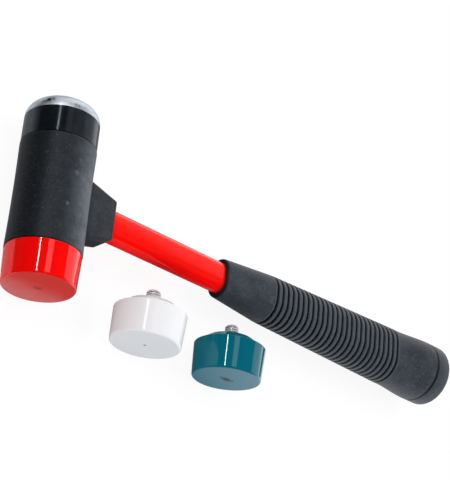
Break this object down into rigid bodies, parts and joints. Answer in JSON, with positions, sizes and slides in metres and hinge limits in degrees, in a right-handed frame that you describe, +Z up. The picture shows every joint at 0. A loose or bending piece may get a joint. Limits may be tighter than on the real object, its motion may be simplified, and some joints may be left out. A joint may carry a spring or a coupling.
{
  "type": "soft face hammer",
  "caption": "Hammer with screw-in striking faces, one steel and one soft, a flat tube handle with a ribbed rubber grip, and spare soft faces beside it.",
  "frame": {"origin": "on the surface that the hammer lies on, under the middle of the whole set's outline", "axes": "+X along the handle, from the head to the butt; +Y along the head, towards the steel face; +Z up"},
  "size_m": [0.3222, 0.1128, 0.0407],
  "materials": {
    "sleeve_rubber": "fine matt moulded grain, blue-black, with a few pale scuffs",
    "core_steel": "as machined",
    "pin_steel": "spring steel",
    "plug_wood": "plain",
    "red_paint": "smooth satin coating",
    "grip_rubber": "matt moulded rubber with a slight mottle",
    "cap_rubber": "matt moulded rubber",
    "face_steel": "polished crown, blackened skirt",
    "zinc_steel": "zinc plated",
    "red_plastic": "glossy sides, matt striking end",
    "white_plastic": "glossy sides, satin striking end",
    "teal_plastic": "glossy sides, satin striking end"
  },
  "bodies": {
    "hammer": {"head_shell": "sleeve_rubber", "head_core": "core_steel", "handle_pin": "pin_steel", "tube_plug": "plug_wood", "handle_tube": "red_paint", "grip": "grip_rubber", "butt_cap": "cap_rubber"},
    "steel_stud": {"steel_stud": "zinc_steel"},
    "steel_face": {"steel_face": "face_steel"},
    "red_stud": {"red_stud": "zinc_steel"},
    "red_face": {"red_face": "red_plastic"},
    "white_spare": {"white_face": "white_plastic", "white_stud": "zinc_steel"},
    "teal_spare": {"teal_face": "teal_plastic", "teal_stud": "zinc_steel"}
  },
  "joints": [
    {"name": "steel_travel", "type": "slide", "parent": "hammer", "child": "steel_stud", "axis": [0, 1, 0], "range_m": [0, 0.008]},
    {"name": "steel_unscrew", "type": "hinge", "parent": "steel_stud", "child": "steel_face", "pos_m": [-0.14072, 0.0303, 0.02035], "axis": [0, 1, 0], "range_deg": [0, 2160]},
    {"name": "red_travel", "type": "slide", "parent": "hammer", "child": "red_stud", "axis": [0, -1, 0], "range_m": [0, 0.008]},
    {"name": "red_unscrew", "type": "hinge", "parent": "red_stud", "child": "red_face", "pos_m": [-0.14072, -0.0302, 0.02035], "axis": [0, -1, 0], "range_deg": [0, 2160]},
    {"name": "white_lift", "type": "slide", "parent": "hammer", "child": "white_spare", "axis": [0, 0, 1], "range_m": [0, 0.08]},
    {"name": "teal_lift", "type": "slide", "parent": "hammer", "child": "teal_spare", "axis": [0, 0, 1], "range_m": [0, 0.08]}
  ],
  "couplings": [
    {"joint": "steel_travel", "follows": "steel_unscrew", "m_per_rad": 0.00019894},
    {"joint": "red_travel", "follows": "red_unscrew", "m_per_rad": 0.00019894}
  ]
}
